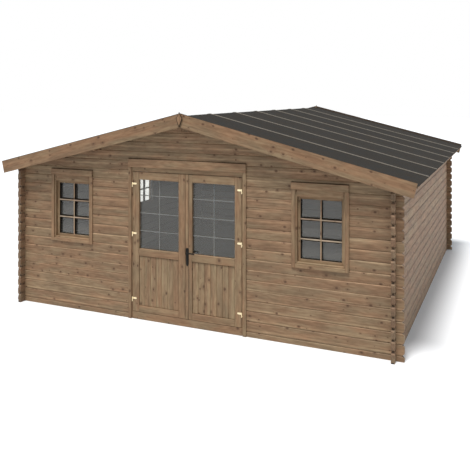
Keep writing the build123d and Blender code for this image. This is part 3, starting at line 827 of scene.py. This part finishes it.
def window_boards(name, place):
    """Trim boards round one window and a dark strip of painted shade over its head board."""
    near = WINDOW_HALF + WINDOW_SIDE - TRIM_LAP
    far = near + TRIM_WIDTH
    low = TRIM_LAP - WINDOW_BOTTOM - TRIM_WIDTH
    head = WINDOW_HEIGHT + WINDOW_TOP - TRIM_LAP
    top = head + HEAD_BOARD_HEIGHT
    piece = Piece(f"{name}_boards", BOARD_EDGE, place)
    for way in (-1, 1):
        piece.board((way * near, low, 0.0), (way * far, head - JOINT, TRIM_THICKNESS), ALONG_Y)
    sill = (near - JOINT, low + TRIM_WIDTH, TRIM_THICKNESS)
    piece.board((-near + JOINT, low, 0.0), sill, ALONG_X)
    piece.board((-far, head, 0.0), (far, top, HEAD_BOARD_THICKNESS), ALONG_X)
    piece.finish("cabin", JOINERY, [f"{name}_trim"])
    shade_strip = Piece(f"{name}_seal", FINE_EDGE, place)
    shade_strip.board((-far, top, 0.0), (far, top + HEAD_SHADE_HEIGHT, HEAD_SHADE_DEPTH), ALONG_X)
    shade_strip.finish("cabin", [HEAD_PAINTED_SHADE, HEAD_PAINTED_SHADE])


def window_bars(name, place, bar_shades):
    """Bars on both sides of one window's panes, with black bands of painted shade behind them and round the
    panes.
    """
    upright = Piece(f"{name}_upright_bars", FINE_EDGE, place)
    level = Piece(f"{name}_level_bars", FINE_EDGE, place)
    for span in ((BAR_BACK, SASH_FRONT), (SASH_BACK, PANE_BACK)):
        lattice(upright, level, (BAR_WIDTH, BAR_WIDTH), span)
    upright.finish("cabin", UPRIGHT_BARS)
    level.finish("cabin", PAINTED_LIGHT_LEVEL_BARS)
    black = Piece(f"{name}_gaskets", FINE_EDGE, place)
    span = (PANE_FRONT, BAR_BACK)
    lattice(black, black, bar_shades, span)
    half, low, high = PANE_OPENING
    inner = (half - PANE_SHADE_LINER, low + PANE_SHADE_LINER, high - PANE_SHADE_LINER)
    black.chamfer = STRIP_EDGE
    rim(black, inner, (PANE_SHADE_LINER, PANE_SHADE_LINER, PANE_SHADE_LINER), span)
    black.finish("cabin", [PAINTED_SHADE_BLACK, PAINTED_SHADE_BLACK])


def window(name, place, bar_shades=BAR_SHADE_WIDTHS):
    """One window in a log wall; the place is the middle of its sill, X to the right and Z outwards."""
    window_members(name, place)
    window_boards(name, place)
    window_bars(name, place, bar_shades)


def windows():
    """The two front windows and the one in the left wall."""
    for name, x in (("front_left_window", -WINDOW_SPACING), ("front_right_window", WINDOW_SPACING)):
        window(name, facing_matrix((x, FRONT_FACE, WINDOW_SILL), RIGHTWARD, FRONTWARD))
    side = (LEFT_FACE, SIDE_WINDOW_PLACE, SIDE_WINDOW_SILL)
    window("left_wall_window", facing_matrix(side, FRONTWARD, LEFTWARD), SIDE_BAR_SHADE_WIDTHS)


# Door frame and leaves

def node_board(piece, node, grain):
    """A single board in place of a node that is one plain board."""
    low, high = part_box(node)
    piece.board(low, high, grain)


def mirrored_boards(piece, node, width):
    """Two upright boards at the left and right ends of a node's box."""
    low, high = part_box(node)
    piece.board(low, (low.x + width, high.y, high.z), ALONG_Z)
    piece.board((high.x - width, low.y, low.z), high, ALONG_Z)


def door_surround():
    """Frame and trim boards of the doorway, with a dark strip of painted shade over its head board."""
    members = Piece("door_frame_members", BOARD_EDGE)
    mirrored_boards(members, "door_posts", POST_WIDTH)
    node_board(members, "door_head", ALONG_X)
    node_board(members, "door_sill", ALONG_X)
    members.finish("cabin", JOINERY, ["door_posts", "door_head", "door_sill"])
    trim = Piece("door_trim_boards", BOARD_EDGE)
    mirrored_boards(trim, "door_side_trims", DOOR_TRIM_WIDTH)
    node_board(trim, "door_head_trim", ALONG_X)
    trim.finish("cabin", JOINERY, ["door_side_trims", "door_head_trim"])
    low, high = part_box("door_head_trim")
    shade_strip = Piece("door_head_seal")
    over = (high.x, FRONT_FACE, high.z + HEAD_SHADE_HEIGHT)
    shade_strip.board((low.x, FRONT_FACE - HEAD_SHADE_DEPTH, high.z), over, ALONG_X)
    shade_strip.finish("cabin", [HEAD_PAINTED_SHADE, HEAD_PAINTED_SHADE])


def leaf_members(word):
    """Stiles and rails of one leaf."""
    low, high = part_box(f"{word}_leaf_frame")
    glass_low, glass_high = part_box(f"{word}_leaf_glass")
    panel_low, panel_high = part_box(f"{word}_leaf_panel")
    piece = Piece(f"{word}_leaf_members", BOARD_EDGE)
    mirrored_boards(piece, f"{word}_leaf_frame", STILE_WIDTH)
    left, right = low.x + STILE_WIDTH + JOINT, high.x - STILE_WIDTH - JOINT
    for bottom, top in (
        (low.z, panel_low.z - JOINT),
        (panel_high.z + JOINT, glass_low.z - JOINT),
        (glass_high.z + JOINT, high.z),
    ):
        piece.board((left, low.y, bottom), (right, high.y, top), ALONG_X)
    piece.finish(f"{word}_leaf", JOINERY, [f"{word}_leaf_frame"])


def leaf_boards(word):
    """Upright boards of one leaf's lower panel."""
    low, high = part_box(f"{word}_leaf_panel")
    piece = Piece(f"{word}_leaf_boards", PANEL_BEVEL)
    step = (high.x - low.x) / PANEL_BOARDS
    for index in range(PANEL_BOARDS):
        left = low.x + index * step
        piece.board((left, low.y, low.z), (left + step, high.y, high.z), ALONG_Z)
    piece.finish(f"{word}_leaf", PANELS, [f"{word}_leaf_panel"])


def leaf_grid(word):
    """The grey grid on both faces of one leaf's pane."""
    low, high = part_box(f"{word}_leaf_glass")
    half = GRID_WIDTH / 2
    middle = (low.x + high.x) / 2
    left, right = middle - half, middle + half
    piece = Piece(f"{word}_leaf_grid", GRID_EDGE)
    for front, back in ((low.y - GRID_THICKNESS, low.y), (high.y, high.y + GRID_THICKNESS)):
        piece.board((left, front, low.z), (right, back, high.z), ALONG_Z)
        for row in range(1, GRID_ROWS + 1):
            z = low.z + GRID_PITCH * row
            for start, stop in ((low.x, left), (right, high.x)):
                piece.board((start, front, z - half), (stop, back, z + half), ALONG_X)
    piece.finish(f"{word}_leaf", [GLASS_BAR, GLASS_BAR])


def meeting_strip():
    """The raised strip on the right leaf's meeting stile, and a black strip of painted shade beside it."""
    low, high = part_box("right_leaf_frame")
    left = low.x + STRIP_INSET
    right = left + STRIP_WIDTH
    strip = Piece("meeting_strip", STRIP_EDGE)
    strip.board((left, low.y - STRIP_HEIGHT, low.z), (right, low.y, high.z), ALONG_Z)
    strip.finish("right_leaf", JOINERY)
    shade_strip = Piece("meeting_seal", PAINTED_SHADE_EDGE)
    corner = (right + STRIP_SHADE_WIDTH, low.y, high.z)
    shade_strip.board((right, low.y - STRIP_SHADE_HEIGHT, low.z), corner, ALONG_Z)
    shade_strip.finish("right_leaf", [PAINTED_SHADE_BLACK, PAINTED_SHADE_BLACK])


def leaves():
    """Both door leaves."""
    for word in ("left", "right"):
        leaf_members(word)
        leaf_boards(word)
        leaf_grid(word)
    meeting_strip()


# Door fittings

def rounded_bar(length, height, steps=8):
    """Outline of a flat bar from the origin along X, its far end half round."""
    radius = height / 2
    angles = [math.radians(-90.0 + 180.0 * step / steps) for step in range(steps + 1)]
    end = [(length - radius + radius * math.cos(a), radius + radius * math.sin(a)) for a in angles]
    return [(0.0, 0.0)] + end + [(0.0, height)]


def hinge_place(side, height):
    """Local X from the hinge axis towards the leaf, Y up and Z out of the leaf's face."""
    corner = facing_matrix((side * HINGE_X, FRONT_FACE, height), RIGHTWARD, FRONTWARD)
    return corner @ Matrix.Scale(-side, 4, RIGHTWARD)


def barrel(piece, place, low, high):
    """One half of a hinge barrel, its edges rounded."""
    small, large = BARREL_RADIUS - BARREL_ROUND, BARREL_RADIUS
    profile = ((small, low), (large, low + BARREL_ROUND), (large, high - BARREL_ROUND), (small, high))
    upright = Matrix.Rotation(math.radians(-90.0), 4, "X")
    piece.lathe(profile, moved(place, z=HINGE_STANDOFF) @ upright, 24)


def hinge_leaf_half(piece, place):
    """Strap, upper barrel and screws of the half that rides on a leaf."""
    barrel(piece, place, HINGE_GAP, BARREL_END)
    strap = rounded_bar(STRAP_LENGTH, STRAP_HEIGHT)
    piece.plate(strap, STRAP_THICKNESS, moved(place, y=HINGE_GAP), SHEET_EDGE)
    piece.plate(rectangle(*WEB), WEB_THICKNESS, moved(place, z=HINGE_GAP), WEB_EDGE)
    for x, y in STRAP_SCREWS:
        piece.lathe(SCREW, moved(place, x, y, STRAP_THICKNESS), 16)


def hinge_frame_half(piece, place):
    """Flap and lower barrel of the half that stays on the post."""
    barrel(piece, place, -BARREL_END, -HINGE_GAP)
    piece.plate(rectangle(*FLAP), STRAP_THICKNESS, place, SHEET_EDGE)


def hinges():
    """The three pairs of hinges."""
    frame_halves = Piece("hinge_frame_halves")
    for side, word in ((-1, "left"), (1, "right")):
        leaf_halves = Piece(f"{word}_hinge_leaf_halves")
        for height in HINGE_HEIGHTS:
            place = hinge_place(side, height)
            hinge_leaf_half(leaf_halves, place)
            hinge_frame_half(frame_halves, place)
        leaf_halves.finish(f"{word}_leaf", [BRASS], [f"{word}_leaf_hinges"])
    frame_halves.finish("cabin", [BRASS], ["door_frame_hinges"])


def handle_places():
    """The handle's axis on the outer and on the inner face of the right leaf, Z outwards."""
    low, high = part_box("right_leaf_frame")
    outer = facing_matrix((HANDLE_X, low.y, HANDLE_HEIGHT), RIGHTWARD, FRONTWARD)
    inner = facing_matrix((HANDLE_X, high.y, HANDLE_HEIGHT), RIGHTWARD, BACKWARD)
    return outer, inner


def lock_plates():
    """The long plates under the levers, with a rose, a keyhole and two screws each."""
    piece = Piece("lock_plate_pair")
    outline = list(PLATE_OUTLINE) + [(-x, y) for x, y in reversed(PLATE_OUTLINE)]
    for place in handle_places():
        piece.plate(outline, PLATE_THICKNESS, place, PLATE_EDGE)
        face = moved(place, z=PLATE_THICKNESS)
        piece.lathe(ROSE, face, 24)
        piece.lathe(KEYHOLE, moved(face, y=KEYHOLE_DROP), 20)
        for height in PLATE_SCREWS:
            piece.lathe(SCREW, moved(face, y=height), 16)
    piece.finish("right_leaf", [BLACK_METAL], ["lock_plates"])


def lever_grip(piece, place):
    """A tapered grip with a rounded tip, along local X and standing off the plate."""
    rows = []
    for x, high, thick, rise in GRIP:
        rows.append([(x, rise + high * math.sin(a), thick * math.cos(a)) for a in circle(GRIP_SIDES)])
    piece.skin(rows, place)


def levers():
    """Both levers on their spindle."""
    piece = Piece("lever_pair")
    for place in handle_places():
        piece.lathe(NECK, moved(place, z=NECK_STANDOFF), 20)
        lever_grip(piece, moved(place, z=GRIP_STANDOFF))
    low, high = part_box("right_leaf_frame")
    length = high.y - low.y + 2 * SPINDLE_TAIL
    spindle = facing_matrix((HANDLE_X, high.y + SPINDLE_TAIL, HANDLE_HEIGHT), RIGHTWARD, FRONTWARD)
    piece.lathe(((SPINDLE_RADIUS, 0.0), (SPINDLE_RADIUS, length)), spindle, 12)
    piece.finish("lever", [BLACK_METAL], ["lever_handle"])


# Roof and floor

def down_slope(side):
    """The direction from the ridge down one slope."""
    return Vector((side * math.cos(ROOF_PITCH), 0.0, -math.sin(ROOF_PITCH)))


def slope_matrix(side, height):
    """Local X down one slope from the ridge, Y to the back and Z out of the roof."""
    down = down_slope(side)
    return axes_matrix(down, BACKWARD, down.cross(Vector(BACKWARD)), (0.0, 0.0, height))


def roof_planks(side, word):
    """The boarding of one slope, boards running from the ridge to the eave."""
    piece = Piece(f"roof_planks_{word}", FRAME_EDGE, slope_matrix(side, RIDGE_SOFFIT))
    low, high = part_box(f"roof_boards_{word}")
    count = round((high.y - low.y) / BOARD_COVER)
    step = (high.y - low.y) / count
    run = ROOF_HALF_WIDTH * ROOF_PLUMB
    for index in range(count):
        front = low.y + index * step
        piece.board((RIDGE_GAP, front, 0.0), (run, front + step, side * DECK_THICKNESS), ALONG_X)
    piece.finish("cabin", ROOFING, [f"roof_boards_{word}"])


def felt_laps(side, word):
    """The raised edges where two strips of felt lap."""
    place = slope_matrix(side, RIDGE_SOFFIT + DECK_THICKNESS * ROOF_PLUMB)
    piece = Piece(f"felt_laps_{word}", FRAME_EDGE, place)
    run = (ROOF_HALF_WIDTH + FELT_DRIP) * ROOF_PLUMB
    strip = 2 * ROOF_HALF_LENGTH / FELT_STRIPS
    for index in range(1, FELT_STRIPS):
        front = index * strip - ROOF_HALF_LENGTH - LAP_WIDTH / 2
        corner = (run, front + LAP_WIDTH, side * LAP_HEIGHT)
        piece.board((LAP_START, front, side * LAP_START), corner, ALONG_X)
    piece.finish("cabin", [LAP_FELT, LAP_FELT])


def eave_planks(word):
    """The fascia board along one eave."""
    piece = Piece(f"eave_planks_{word}")
    node_board(piece, f"eave_fascia_{word}", ALONG_Y)
    piece.finish("cabin", EAVES, [f"eave_fascia_{word}"])


def barge_place(side, near, far):
    """Local X down one slope along the barge board's upper edge, Y square to it and Z through the board."""
    down = down_slope(side)
    up = Vector((side * math.sin(ROOF_PITCH), 0.0, math.cos(ROOF_PITCH)))
    through = down.cross(up)
    return axes_matrix(down, up, through, (0.0, near if through.y > 0 else far, BARGE_TOP))


def barge_planks(word):
    """The two barge boards of one gable end, mitred at the apex, with the felt turned up over them."""
    low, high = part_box(f"{word}_barge_boards")
    run = BARGE_HALF_SPAN * ROOF_PLUMB
    mitre = JOINT + BARGE_WIDTH * ROOF_SLOPE
    outline = [(JOINT, 0.0), (run, 0.0), (run, -BARGE_WIDTH), (mitre, -BARGE_WIDTH)]
    cap = rectangle(JOINT, 0.0, run, CAP_THICKNESS)
    turned = rectangle(CAP_START, CAP_THICKNESS - BARGE_RISE, run, CAP_THICKNESS)
    inner = high.y if word == "front" else low.y - CAP_THICKNESS
    boards = Piece(f"{word}_barge_planks")
    caps = Piece(f"{word}_felt_caps")
    for side in (-1, 1):
        place = barge_place(side, low.y, high.y)
        boards.plate(outline, BARGE_THICKNESS, place, BARGE_EDGE)
        caps.plate(cap, BARGE_THICKNESS, place, SHEET_EDGE)
        behind = barge_place(side, inner, inner + CAP_THICKNESS)
        caps.plate(turned, CAP_THICKNESS, behind, SHEET_EDGE)
    boards.finish("cabin", BARGES, [f"{word}_barge_boards"])
    caps.finish("cabin", [EDGE_FELT if word == "front" else WORN_EDGE])


def apex_diamond(word):
    """The diamond board over the mitre of the barge boards, with a dark edge of painted shade."""
    low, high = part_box(f"{word}_apex_cover")
    shoulder = high.z - COVER_SHOULDER
    left, right = low.x * DIAMOND_SPREAD, high.x * DIAMOND_SPREAD
    outline = [(low.z, 0.0), (shoulder, left), (high.z, 0.0), (shoulder, right)]
    place = Matrix(((0, 1, 0, 0), (0, 0, 1, low.y), (1, 0, 0, 0), (0, 0, 0, 1)))
    thick = high.y - low.y
    face = Piece(f"{word}_apex_diamond")
    face.plate(inset_outline(outline, RIM_WIDTH), thick, place)
    face.finish("cabin", ROOFING, [f"{word}_apex_cover"])
    edge = Piece(f"{word}_apex_rim")
    edge.plate(outline, thick - 2 * RIM_SETBACK, moved(place, z=RIM_SETBACK))
    edge.finish("cabin", [RIM_PAINTED_SHADE])


def ridge_beam():
    """The ridge purlin, cut down where it runs out under the roof's ends."""
    low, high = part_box("ridge_purlin")
    piece = Piece("ridge_beam", BOARD_EDGE)
    inner = -FRONT_FACE
    piece.board((low.x, -inner, low.z), (high.x, inner, high.z), ALONG_Y)
    for near, far in ((low.y, -inner - JOINT), (inner + JOINT, high.y)):
        tail = (low.x, near, high.z - RIDGE_TAIL_DEPTH)
        piece.board(tail, (high.x, far, high.z), ALONG_Y)
    piece.finish("cabin", ROOFING, ["ridge_purlin"])


def roof():
    """Boards, felt and beams of the roof."""
    for side, word in ((-1, "left"), (1, "right")):
        roof_planks(side, word)
        felt_laps(side, word)
        eave_planks(word)
    for word in ("front", "rear"):
        barge_planks(word)
        apex_diamond(word)
    ridge_beam()


def floor_planks():
    """Floor boards from the front to the back, cut round the door frame."""
    piece = Piece("floor_planks")
    low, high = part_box("floor_boards")
    frame_low, frame_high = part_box("door_posts")
    count = round((high.x - low.x) / FLOOR_COVER)
    step = (high.x - low.x) / count
    for index in range(count):
        left = low.x + index * step
        at_door = left + step > frame_low.x and left < frame_high.x
        front = frame_high.y + FLOOR_GAP if at_door else low.y
        piece.board((left, front, low.z), (left + step, high.y, high.z), ALONG_Y)
    piece.finish("cabin", FLOORING, ["floor_boards"])


def dress(material, *names):
    """Give solids that show themselves one material."""
    for name in names:
        slots = nodes[name].data.materials
        slots.clear()
        slots.append(material)


# Floor, light and camera

def ray_kinds(t):
    """Two values: 1 for rays that show a background, and 1 for stray light that enters by the panes."""
    path = t.add("ShaderNodeLightPath").outputs
    direct = t.math("LESS_THAN", path["Diffuse Depth"], 0.5)
    seen = t.math("MAXIMUM", path["Is Camera Ray"], path["Is Glossy Ray"])
    seen = t.math("MAXIMUM", seen, path["Is Transmission Ray"])
    stray = t.times(path["Is Transmission Ray"], t.minus(1.0, direct))
    return t.times(seen, direct), stray


def studio_floor():
    """A white floor that keeps the cabin's shadow."""
    bpy.ops.mesh.primitive_plane_add(size=STAGE_SIZE, location=(0.0, 0.0, -STAGE_DROP))
    floor = bpy.context.object
    floor.name = "studio_floor"
    material = bpy.data.materials.new("studio_white")
    t = empty_tree(material)
    seen, stray = ray_kinds(t)
    matt = t.add("ShaderNodeBsdfDiffuse", {"Color": t.mix(stray, STAGE_BOUNCE, BLACK)})
    white = t.add("ShaderNodeBsdfDiffuse", {"Color": STAGE_WHITE})
    glow = t.add("ShaderNodeEmission", {"Color": WHITE, "Strength": STAGE_LIFT})
    lit = t.add("ShaderNodeAddShader", {0: white.outputs[0], 1: glow.outputs[0]})
    shown = t.add("ShaderNodeMixShader", {0: seen, 1: matt.outputs[0], 2: lit.outputs[0]})
    t.add("ShaderNodeOutputMaterial", {"Surface": shown.outputs[0]})
    floor.data.materials.append(material)


def studio_world():
    """Soft even light, and plain white behind the cabin."""
    world = bpy.data.worlds.new("studio")
    bpy.context.scene.world = world
    t = empty_tree(world)
    seen, stray = ray_kinds(t)
    strength = t.times_plus(stray, -SKY_STRENGTH, SKY_STRENGTH)
    light = t.add("ShaderNodeBackground", {"Color": SKY_COLOUR, "Strength": strength})
    plain = t.add("ShaderNodeBackground", {"Color": WHITE, "Strength": 1.0})
    shown = t.add("ShaderNodeMixShader", {0: seen, 1: light.outputs[0], 2: plain.outputs[0]})
    t.add("ShaderNodeOutputWorld", {"Surface": shown.outputs[0]})


def soft_sun(name, travels, strength, spread, colour):
    """A broad, soft lamp whose light travels along a direction."""
    data = bpy.data.lights.new(name, "SUN")
    data.energy = strength
    data.angle = math.radians(spread)
    data.color = colour
    lamp = bpy.data.objects.new(name, data)
    lamp.rotation_mode = "QUATERNION"
    lamp.rotation_quaternion = Vector(travels).to_track_quat("-Z", "Y")
    lamp.visible_transmission = False
    bpy.context.scene.collection.objects.link(lamp)


def photo_camera():
    """A level camera in front and to the right, shifted down as the photograph is framed."""
    data = bpy.data.cameras.new("camera")
    data.lens = CAMERA_LENS
    data.sensor_width = CAMERA_SENSOR
    data.shift_y = CAMERA_SHIFT
    camera = bpy.data.objects.new("camera", data)
    camera.location = CAMERA_PLACE
    camera.rotation_euler = (math.radians(90.0), 0.0, CAMERA_TURN)
    bpy.context.scene.collection.objects.link(camera)
    bpy.context.scene.camera = camera


windows()
door_surround()
leaves()
hinges()
lock_plates()
levers()
roof()
floor_planks()

dress(FRONT_LOGS, "front_wall_left", "front_wall_right", "front_gable", "rear_wall", "rear_gable")
dress(SIDE_LOGS, "left_wall", "right_wall")
dress(LONG_BEAMS, "side_purlins")
dress(CROSS_BEAMS, "floor_joists")
dress(FELT, "roof_felt_left", "roof_felt_right")
dress(DOOR_GLASS, "left_leaf_glass", "right_leaf_glass")
dress(WINDOW_GLASS, "front_left_window_glass", "front_right_window_glass", "left_wall_window_glass")

studio_floor()
studio_world()
soft_sun("key", (0.05, 0.80, -2.30), 3.05, 14.0, (1.0, 0.965, 0.92))
soft_sun("side_fill", (-0.86, -0.40, -0.16), 0.72, 40.0, (0.93, 0.97, 1.0))
photo_camera()
bpy.context.scene.view_settings.view_transform = "Standard"
